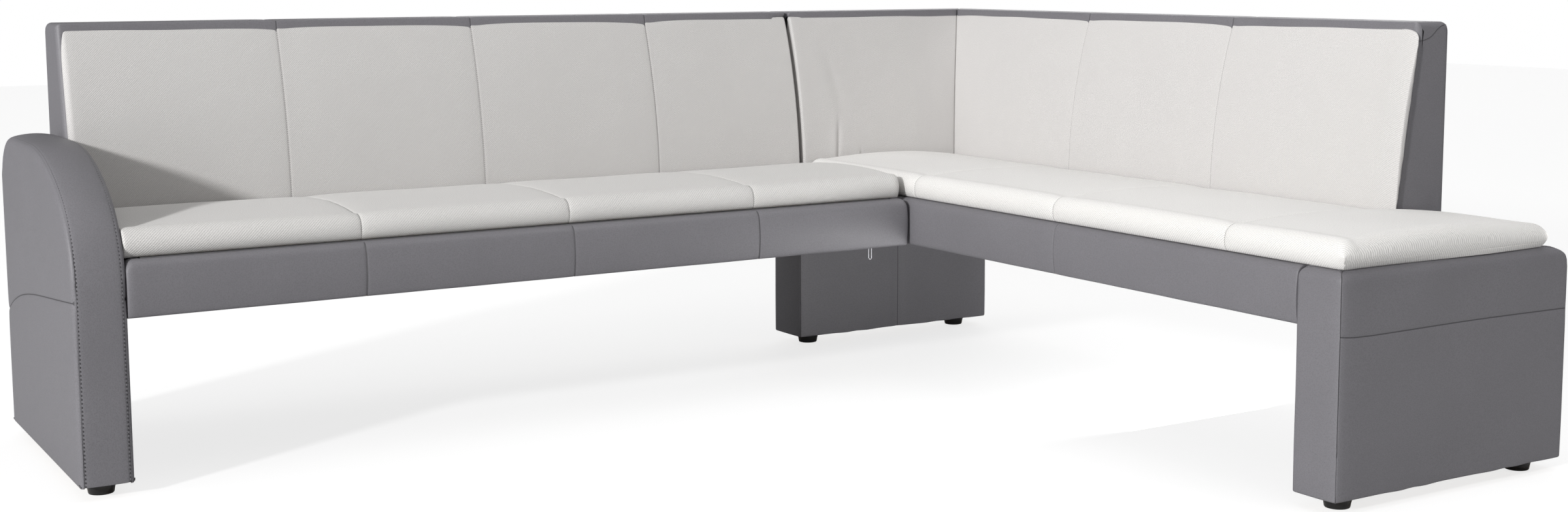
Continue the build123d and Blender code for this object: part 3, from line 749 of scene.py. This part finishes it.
def back_pad_outline(base, rim):
    """Across a back's pad: straight rear, rolled edges, crowned fabric front."""
    low, high = frame_top + 0.001, back_top - rim_height
    middle = (low + high) / 2
    rear_low = complex(lean(base, rim, low) + back_pad, low)
    rear_high = complex(lean(base, rim, high) + back_pad, high)
    front = three_point_arc((lean(base, rim, high), high), (lean(base, rim, middle) - back_crown, middle),
                            (lean(base, rim, low), low))
    return outline([front, rear_low, rear_high], 0.0055, 0.016)


def fold(along, height, start, end, depth, width):
    """A crease between two places (along, height): a narrow groove that fades at its ends, one side full."""
    a, b = complex(*start), complex(*end)
    spot = (along + 1j * height - a) / (b - a)
    fade = eased(np.clip(1 - (np.abs(2 * spot.real - 1) - 0.5) / 0.7, 0, 1))
    past = spot.imag * abs(b - a) / width
    return depth * fade * (0.7 * np.exp(-(past - 2.2) ** 2 / 2.5) - np.exp(-past ** 2))


def back_cushion(name, base, rim, span, seams, to_world, radii, seed, folds=(), creased=(),
                 round_share=(1.0, 1.0)):
    """A back's pad: crowned panels between sewn lines from top to bottom, with rolled fabric edges.

    Each fold gives its start, end, depth and width, and creased the places along the back that it crosses.
    """
    loop = back_pad_outline(base, rim)
    points, normal, _, arc = loop
    places = stations(*span, [*seams, *creased], radii)
    free = np.clip(-normal.real, 0, 1)
    past = beside(places, seams)[:, None]
    distance = np.abs(past)
    swell = (lapped(past, 0.0013, 0.009) - sewn(distance, 0.0014, 0.0016, 0.03)) * free
    swell = swell + ripple(places[:, None], arc[None, :-1], seed, 0.3, 0.0012) * free
    for start, end, depth, width in folds:
        swell = swell + fold(places[:, None], points.imag[None, :], start, end, depth, width) * free
    piece = carried(name, loop, places, swell, distance, to_world, shaded_back_cloth,
                    radii, round_share)
    return piece


def back_skin(name, base, rim, length, seams, to_world, radii, free_ends, tucks):
    """The leather of a back: rear, top and free ends, with a narrow rim round the fabric.

    At an end with a tuck the front edge lies that far behind the fabric, which reaches round the corner.
    """
    low, high = frame_top, back_top
    front = lean(base, rim, high)
    runs = [complex(lean(base, rim, low), low), complex(0, low), complex(0, high - 0.016),
            complex(-0.0047, high - 0.0047), complex(-0.016, high), complex(front, high)]
    loop = outline(runs, 0.0032, 0.02)
    points, normal = loop[:2]
    places = stations(0, length, seams, radii)
    distance = nearest(places, seams)[:, None]
    swell = -sewn(distance, 0.0011, 0.0008, 0.012) * np.clip(normal.imag + 0.2, 0, 1)
    for tuck, near in zip(tucks, (places - places[0], places[-1] - places)):
        behind = tuck * np.clip(1 - near / tuck_reach, 0, 1)[:, None]
        swell = swell - behind * np.clip(-normal.real, 0, 1) * (points.imag < high - rim_height)
    facing = (normal.real < -0.5) & (points.imag < high - rim_height - 0.008)
    below = normal.imag < -0.5
    middle = (places[:-1] + places[1:]) / 2
    first, last = (side_rim if free else 0.0 for free in free_ends)
    inside = (middle > places[0] + first) & (middle < places[-1] - last)
    drop = (inside[:, None] & facing[None, :]) | below[None, :]
    piece = carried(name, loop, places, swell, distance, to_world, leather, radii,
                    caps=free_ends, drop=drop)
    return thicken(piece)


left_radii = (edge, joint_round)
left_skin = back_skin("left_back_leather", left_back_base, left_back_rim, left_length, left_seams, on_left,
                      left_radii, (True, True), (0.0, joint_tuck))
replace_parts(left_skin, "left_back_cover")
left_folds = [((left_length - 0.045, 0.468), (left_length - 0.012, 0.482), 0.0016, 0.0035)]
left_pad = back_cushion("left_back_fabric", left_back_base, left_back_rim,
                        (side_gap, left_length - joint_gap), left_seams, on_left, left_radii, 31,
                        left_folds, [left_length - 0.03])
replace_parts(left_pad, "left_back_cushion")

corner_radii = (joint_round, mitre_round)
corner_skin = back_skin("corner_back_leather", left_back_base, left_back_rim, right_depth, (), on_corner,
                        corner_radii, (True, False), (joint_tuck, 0.0))
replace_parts(corner_skin, "corner_back_cover")
corner_folds = [((0.100, 0.460), (0.110, 0.585), 0.0026, 0.0055),
                ((0.176, 0.460), (0.172, 0.505), 0.0026, 0.0045),
                ((0.125, 0.600), (0.090, 0.760), 0.0012, 0.014)]
corner_pad = back_cushion("corner_back_fabric", left_back_base, left_back_rim, (joint_gap, right_depth), (),
                          on_corner, corner_radii, 37, corner_folds, (0.105, 0.176))
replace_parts(corner_pad, "corner_back_cushion")

right_skin = back_skin("right_back_leather", right_back_base, right_back_rim, right_back_length,
                       right_back_seams, on_right_mitre, (mitre_round, edge), (False, True), (0.0, lip_tuck))
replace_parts(right_skin, "right_back_cover")


def on_right_lip(along, across, height):
    """The right wing's run to the mitre, with the fabric's front edge standing out past the free end."""
    behind = across - lean(right_back_base, right_back_rim, height)
    lip = np.clip(1 - behind / lip_depth, 0, 1) * np.clip(1 - (lip_end - along) / tuck_reach, 0, 1) ** 2
    return on_right_mitre(along + lip_reach * lip, across, height)


right_pad = back_cushion("right_back_fabric", right_back_base, right_back_rim, (0, lip_end),
                         right_back_seams, on_right_lip, (mitre_round, 0.035), 41, round_share=(0.12, 0.4))
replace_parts(right_pad, "right_back_cushion")


# Aprons round the seat frames

apron_roll = 0.018
apron_end_share = 0.25
rail_lip = 0.031                          # leather that lies over the rails
hem = 0.025                               # leather turned in below the rails


def apron(name, length, depth, seams, to_world, radii, deck=None):
    """The leather round a seat frame: a full front with a rolled top edge, ends, rear, a lip over the rails.

    deck gives a place along the frame, and how wide the lip over its rear rail is past that place.
    """
    bottom = frame_bottom - leather_thickness
    slant = math.sqrt(0.5)
    roll = three_point_arc((apron_roll - depth, frame_top),
                           (apron_roll * (1 - slant) - depth, frame_top - apron_roll * (1 - slant)),
                           (-depth, frame_top - apron_roll))
    front = three_point_arc((-depth, frame_top - apron_roll), (-depth - 0.003, frame_top - 0.05),
                            (0.002 - depth, bottom))
    loop = outline([complex(0, bottom), complex(0, frame_top), roll, front], 0.0045, 0.016)
    points, normal, _, arc = loop
    places = stations(0, length, seams, radii)
    past = beside(places, seams)[:, None]
    distance = np.abs(past)
    facing = np.clip(-1.6 * normal.real, 0, 1)
    swell = (lapped(past, 0.0011, 0.007) - sewn(distance, 0.0013, 0.0014, 0.016)) * facing
    swell = swell + ripple(places[:, None], arc[None, :-1], 5, 0.2, 0.0012) * facing
    line = np.where(facing > 0.3, distance, no_seam)
    middle = (places[:-1] + places[1:]) / 2
    rear_lip = np.full(len(middle), rail_lip)
    if deck:
        rear_lip[middle > deck[0]] = deck[1]
    over = (normal.imag > 0.5) & (points.real > rail_lip - depth)
    under = (normal.imag < -0.5) & (points.real > hem - depth) & (points.real < -hem)
    inner = (middle > rail_lip) & (middle < length - rail_lip)
    above = (middle > hem) & (middle < length - hem)
    drop = over[None, :] & (points.real[None, :] < -rear_lip[:, None]) & inner[:, None]
    drop |= under[None, :] & above[:, None]
    upper = np.clip((points.imag - frame_bottom) / 0.06, 0, 1)
    piece = carried(name, loop, places, swell, line, to_world, leather, radii,
                    (apron_end_share, upper), drop=drop)
    return thicken(piece)


left_apron = apron("left_apron", left_length, left_depth, left_seams, on_left, (0.016, 0.012))
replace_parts(left_apron, "left_frame_cover")
right_apron = apron("right_apron", right_length, right_depth, right_apron_seams, on_right,
                    (0.012, 0.004), deck=(right_back_length - 0.04, 0.092))
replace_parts(right_apron, "right_frame_cover")


# Slabs that stand on the feet

def slab(name, low, high, top_round, roll, across_seam, upright_seams):
    """A leather slab: a plan outline (x, y) carried up, sewn at upright lines and across, open below.

    Its top narrows by top_round, the sewn line across bows up to the left, and its hem sags in waves.
    """
    loop = outline([complex(low[0], low[1]), complex(high[0], low[1]), complex(high[0], high[1]),
                    complex(low[0], high[1])], 0.0034, 0.016)
    points, normal, _, arc = loop
    seams = [across_seam] if across_seam else []
    radii = (0.004, roll)
    places = stations(low[2], high[2], seams, radii)
    front = np.clip(-normal.imag, 0, 1)[None, :]
    level = np.where(front > 0.5, nearest(places, seams)[:, None], no_seam)
    gap = np.full(len(points), no_seam)
    for x, y in upright_seams:
        away = np.abs(points - complex(x, y))
        gap = np.minimum(gap, away - away.min())
    line = np.minimum(level, gap[None, :])
    swell = -sewn(level, 0.0011, 0.0009, 0.012) * front - sewn(gap, 0.0012, 0.0022, 0.014)[None, :]
    swell = swell + ripple(places[:, None], arc[None, :-1], 9, 0.3, 0.0015)

    def to_world(along, across, height):
        narrow = quarter(high[2] - along, top_round) if top_round else 0.0
        share = (across - low[0]) / (high[0] - low[0])
        bow = 0.003 * np.sin(np.pi * share) + 0.007 * np.exp(-(across - low[0]) / 0.035)
        bow = bow * np.exp(-((along - across_seam) / 0.05) ** 2) if across_seam else 0.0
        sag = 0.0007 * (1 + np.sin(52 * across + 2 * np.sin(23 * across))) * np.exp((low[2] - along) / 0.02)
        return np.stack([across - share * narrow, height, along + bow - sag], axis=-1)

    piece = carried(name, loop, places, swell, line, to_world, leather, radii,
                    caps=(False, True))
    return thicken(piece)


end_slab = slab("end_leather", end_low, end_high, 0.04, 0.02, end_seam_height, [(end_low[0], end_low[1])])
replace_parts(end_slab, "end_panel_cover")
leg_slab = slab("corner_leg_leather", leg_low, leg_high, 0.0, 0.009, None,
                [(leg_seam_place, leg_low[1]), (leg_low[0], leg_low[1])])
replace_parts(leg_slab, "corner_leg_cover")


# Arm

arm_curve_start = 0.385
arm_front_radius = 0.200
arm_top_radius = 0.520
arm_rear_radius = 0.110
arm_foot = arm_low[2]
arm_top = arm_high[2]


def arm_path():
    """The arm's side, from the front foot up and over to the rear foot: two arcs lean the front back."""
    turn = math.asin((arm_top_radius - (arm_top - arm_curve_start)) / (arm_top_radius - arm_front_radius))
    low = np.linspace(0, turn, 40)
    first = y_front + arm_front_radius * (1 - np.cos(low))
    first = first + 1j * (arm_curve_start + arm_front_radius * np.sin(low))
    high = np.linspace(turn, np.pi / 2, 60)
    crest = first[-1].real + arm_top_radius * math.cos(turn)
    second = crest - arm_top_radius * np.cos(high) + 1j * (arm_top - arm_top_radius * (1 - np.sin(high)))
    bend = np.linspace(np.pi / 2, 0, 24)
    third = y_wall - arm_rear_radius + arm_rear_radius * np.cos(bend) + 1j * (
        arm_top - arm_rear_radius + arm_rear_radius * np.sin(bend))
    return np.concatenate([[complex(y_front, arm_foot)], first, second, third, [complex(y_wall, arm_foot)]])


def across_arm(along, across, height):
    """The arm's outline (y, z) carried across its thickness."""
    return np.stack([along, across, height], axis=-1)


path = arm_path()


def arm_band():
    """The arm's band: the outline carried across, low at its edges and stitches, crowned on top."""
    loop = outline([path[::-1]], 0.002, 0.014, 0.1)
    _, normal, _, arc = loop
    inset = 0.003
    radii = (0.006, 0.006)
    places = stations(x_left + inset, x_arm - inset, stitch_lines, radii, 0.007)
    gap = nearest(places, stitch_lines)[:, None]
    border = np.minimum(places - x_left, x_arm - places)[:, None]
    swell = -0.0006 * np.exp(-gap / 0.0016) - 0.0022 * np.exp(-(border - inset) / 0.008)
    swell = swell + ripple(places[:, None], arc[None, :-1], 3, 0.25, 0.0008)
    share = (places - x_left) / (x_arm - x_left)
    swell = swell + 0.006 * (np.sin(np.pi * share)[:, None] * np.clip(normal.imag, 0, 1)[None, :])
    piece = carried("arm_band", loop, places, swell, np.maximum(border - 0.0045, 0), across_arm, leather,
                    radii, caps=(False, False), drop=(normal.imag < -0.5)[None, :])
    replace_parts(thicken(piece, 0.004), "arm_cover")


arm_band()


def banded(low, high, near_low, near_high, count):
    """Heights between two lines, close together near both, as columns."""
    height = (high - low)[:, None]
    reach = np.minimum(1.0, 0.45 * height / max(near_low[-1], near_high[-1]))
    first = low[:, None] + near_low[None, :] * reach
    last = high[:, None] - near_high[None, ::-1] * reach
    share = np.linspace(0, 1, count + 2)[None, 1:-1]
    return np.concatenate([first, first[:, -1:] + (last[:, :1] - first[:, -1:]) * share, last], axis=1)


def arm_panel(name, side):
    """One side panel of the arm: a thin pillow inside the arm's outline, with one curved sewn line.

    For each place from front to rear the heights run from the foot to the sewn line and on to the
    outline. The panel stands out by a rounded border, a low crown and a groove at the sewn line.
    """
    inset = 0.0012
    top = path[1:-1]
    border = 0.012
    full = 0.0078
    near_border = border * round_fan
    front, rear = y_front + inset, y_wall - inset
    ends = np.concatenate([front + near_border, rear - near_border])
    fill = front + (rear - front) * np.linspace(0, 1, 90) ** 1.35
    fill = fill[(fill > front + border + 0.002) & (fill < rear - border - 0.003)]
    y = np.unique(np.concatenate([ends, fill]))
    high = np.interp(y, top.real, top.imag) - inset
    low = np.full(len(y), arm_foot)
    seam_places = (0.0, 0.087, 0.248, 0.42, 0.542, 0.655)
    seam_heights = (0.370, 0.362, 0.348, 0.328, 0.304, 0.262)
    bend = np.polyfit(seam_places, seam_heights, 4)
    seam = np.minimum(np.polyval(bend, y - y_front), high - 0.004)
    z = np.concatenate([banded(low, seam, near_border, seam_fan, 26),
                        banded(seam, high, seam_fan, near_border, 26)[:, 1:]], axis=1)
    slope = np.gradient(high, y)
    rim = np.minimum((high[:, None] - z) / np.sqrt(1 + slope[:, None] ** 2), z - low[:, None] + 0.004)
    rim = np.minimum(rim, np.minimum(y - front, rear - y)[:, None])
    gap = np.abs(z - seam[:, None])
    out = full - quarter(rim, border) * full / border
    out = out + 0.0022 * (1 - np.exp(-np.maximum(rim - border, 0) / 0.05))
    out = out - sewn(gap, 0.0013, 0.0012, 0.014)
    out = out + ripple(y[:, None], z, 13, 0.3, 0.0008) * np.clip(rim / 0.03, 0, 1)
    out = np.maximum(out, 0.0006)
    face = x_left + full if side < 0 else x_arm - full
    depths = (face + side * out, np.full_like(z, face))
    outer, inner = (np.stack([x, np.broadcast_to(y[:, None], z.shape), z], -1) for x in depths)
    grid = np.concatenate([outer, inner[:, ::-1]], axis=1)
    if side > 0:
        grid = grid[::-1]
    uv = np.stack([grid[..., 1], grid[..., 2]], -1)
    uv = face_corners(uv, np.roll(uv, -1, axis=1)).reshape(-1, 2)
    line = np.concatenate([gap, np.full_like(gap, no_seam)], axis=1)
    faces = band_faces(*grid.shape[:2]).reshape(-1, 4)
    piece = new_piece(name, grid.reshape(-1, 3), faces, uv, line.ravel(), leather)
    close_poles(piece)
    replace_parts(piece, "arm_cover")


arm_panel("arm_outer_panel", -1)
arm_panel("arm_inner_panel", 1)


def stitches(name, centres, ahead, up, length, width):
    """A row of stitches: one small spindle, turned along the row and set on the leather at each centre."""
    t = np.linspace(-1, 1, 7)
    ring = np.linspace(0, 2 * np.pi, 7)[:-1]
    radius = np.sqrt(1 - (0.96 * t) ** 2)
    lengthwise = t[:, None, None] * length / 2
    sideways = (radius[:, None] * np.cos(ring) * width / 2)[..., None]
    upwards = (radius[:, None] * np.sin(ring) * width / 2)[..., None]
    ahead, aside, up, centres = (way[:, None, None] for way in (ahead, np.cross(up, ahead), up, centres))
    turned = lengthwise * ahead + sideways * aside + upwards * up + centres
    rows, columns = len(t), len(ring)
    lid = np.array([[0, 3, 2, 1], [0, 5, 4, 3]])
    single = np.concatenate([band_faces(rows, columns).reshape(-1, 4), lid,
                             (rows - 1) * columns + lid[:, ::-1]])
    copies(name, turned, single, thread)


def arm_stitches():
    """Two rows of stitches on the arm's band, beside its sewn edges, from the front foot over the top."""
    length = run_length(path)
    place = np.arange(0.004, length[-1] - 0.004, stitch_pitch)
    at = between(place, length, path)
    on = between(place + 0.001, length, path)
    run = (on - at) / np.abs(on - at)
    out = 1j * run
    at = at - out * 0.0007
    ahead = np.stack([np.zeros(len(run)), run.real, run.imag], -1)
    up = np.stack([np.zeros(len(run)), out.real, out.imag], -1)
    rows = [np.stack([np.full(len(at), x), at.real, at.imag], -1) for x in stitch_lines]
    ahead, up = (np.tile(way, (2, 1)) for way in (ahead, up))
    stitches("arm_stitches", np.concatenate(rows), ahead, up, 0.0036, 0.0019)


arm_stitches()


def end_seam():
    """The sewn line over the right back's free end: a cubic from the fabric's corner to the rear edge."""
    knots = np.arange(4)
    step = np.linspace(0, 3, 31)
    depth = np.polyval(np.polyfit(knots, (-0.092, -0.058, -0.041, -0.019), 3), step)
    height = back_top + np.polyval(np.polyfit(knots, (-0.038, -0.030, -0.017, -0.007), 3), step)
    out = right_back_low[1] + quarter(np.minimum(back_top - height, -depth), edge)
    centres = np.stack([x_wall + depth, out, height], -1)
    ahead = np.gradient(centres, axis=0)
    ahead = ahead / np.linalg.norm(ahead, axis=1)[:, None]
    up = np.cross(ahead, np.cross((0.0, -1.0, 0.0), ahead))
    up = up / np.linalg.norm(up, axis=1)[:, None]
    stitches("right_back_end_seam", centres, ahead, up, 0.0048, 0.0014)


end_seam()


# Feet

def turned_foot(name, node):
    """Round feet: a profile turned about an upright axis, with a recess for the screw below."""
    low, high = corners(node)
    near, middle, far = low + foot_width / 2, (low + high) / 2, high - foot_width / 2
    spots = np.array([(middle[0], near[1]), (middle[0], far[1])])
    if high[0] - low[0] > high[1] - low[1]:
        spots = np.array([(near[0], middle[1]), (far[0], middle[1])])
    radius, height = np.array([
        (0.0, 0.0090), (0.0055, 0.0090), (0.0055, 0.0008), (0.0063, 0.0), (0.0205, 0.0), (0.0226, 0.0006),
        (0.0235, 0.0022), (0.0246, 0.0090), (0.0256, 0.0130), (0.0260, 0.0150), (0.0260, 0.0225),
        (0.0254, 0.0240), (0.0250, 0.0260), (0.0, 0.0260)]).T[:, :, None]
    turn = np.linspace(0, 2 * np.pi, 49)[:-1]
    x, y = spots.T[:, :, None, None]
    grids = np.stack(np.broadcast_arrays(x + radius * np.cos(turn), y + radius * np.sin(turn), height), -1)
    faces = band_faces(len(radius), len(turn)).reshape(-1, 4)
    piece = copies(name, grids, faces, black_plastic)
    close_poles(piece)
    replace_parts(piece, node)


turned_foot("arm_plastic_feet", "arm_feet")
turned_foot("corner_leg_plastic_feet", "corner_leg_feet")
turned_foot("end_plastic_feet", "end_panel_feet")


# Floor, light and camera

white = shade((1.0, 1.0, 1.0))
ambient = 0.13                            # strength of the surroundings on the object
photo_width = 2400.0
focal_pixels = 2954.12
sensor_width = 36.0


def floor():
    """A wide pale floor that keeps the shadow and looks white to the camera."""
    mesh = bpy.data.meshes.new("floor")
    reach = 14.0
    mesh.from_pydata([(-reach, -reach, 0), (reach, -reach, 0), (reach, reach, 0), (-reach, reach, 0)], [],
                     [(0, 1, 2, 3)])
    plane = linked("floor", mesh)
    material, tree, shader = node_tree("pale_floor")
    seen = add(tree, "LightPath").outputs["Is Camera Ray"]
    pale = blend_colour(tree, seen, shade((0.6, 0.6, 0.6)), shade((0.34, 0.34, 0.34)))
    glow = maths(tree, "MULTIPLY", seen, 0.75)
    wire(tree, shader, {"Base Color": pale, "Emission Color": white, "Emission Strength": glow,
                        "Roughness": 0.9, "Specular IOR Level": 0.1})
    mesh.materials.append(material)


def world():
    """Even soft light, with a plain white backdrop for the camera."""
    scene_world = bpy.data.worlds.new("studio")
    bpy.context.scene.world = scene_world
    scene_world.use_nodes = True
    tree = scene_world.node_tree
    seen = add(tree, "LightPath").outputs["Is Camera Ray"]
    strength = maths(tree, "MULTIPLY_ADD", seen, 1.0 - ambient, ambient)
    wire(tree, tree.nodes["Background"], {"Color": white, "Strength": strength})


def lamp(name, kind, energy, towards, place=(0.0, 0.0, 4.0), **settings):
    """A lamp that shines along a direction from its place."""
    data = bpy.data.lights.new(name, kind)
    data.energy = energy
    for key, value in settings.items():
        setattr(data, key, value)
    light = linked(name, data)
    light.location = place
    light.visible_camera = False
    light.rotation_mode = "QUATERNION"
    light.rotation_quaternion = Vector(towards).to_track_quat("-Z", "Y")


def camera():
    """The photograph's view: a slight look down from the front left, with a small lens shift."""
    data = bpy.data.cameras.new("camera")
    data.sensor_width = sensor_width
    data.lens = focal_pixels * sensor_width / photo_width
    data.shift_x = -0.02
    data.shift_y = -0.04
    eye = linked("camera", data)
    eye.location = (-1.9371, -3.2943, 0.9680)
    azimuth, pitch, roll = (math.radians(angle) for angle in (32.3235, 6.6421, -0.1118))
    turn = Matrix.Rotation(-azimuth, 3, "Z") @ Matrix.Rotation(math.pi / 2 - pitch, 3, "X")
    turn = turn @ Matrix.Rotation(roll, 3, "Z")
    eye.rotation_mode = "QUATERNION"
    eye.rotation_quaternion = turn.to_quaternion()
    bpy.context.scene.camera = eye


floor()
world()
lamp("key", "AREA", 750.0, (0.833, 0.458, -0.310), place=(-8.63, -3.52, 3.39), size=0.63)
lamp("left_fill", "SUN", 0.9, (1.0, 0.1, -0.15), angle=math.radians(60.0))
lamp("overhead", "SUN", 0.76, (0.0, 0.1, -1.0), angle=math.radians(80.0))
lamp("right_top", "AREA", 15.0, (0.0, 0.1, -1.0), place=(1.0, -0.9, 2.8), size=1.6)
lamp("right_front", "AREA", 7.2, (0.0, 1.0, -0.25), place=(1.3, -3.2, 1.2), size=0.9)
lamp("leg_glow", "AREA", 5.5, (0.0, 1.0, 0.1), place=(0.95, -0.3, 0.10), size=0.4)
lamp("rear_fill", "SUN", 0.75, (-0.6, -0.75, -0.3), angle=math.radians(40.0))
camera()
bpy.context.scene.view_settings.view_transform = "Standard"
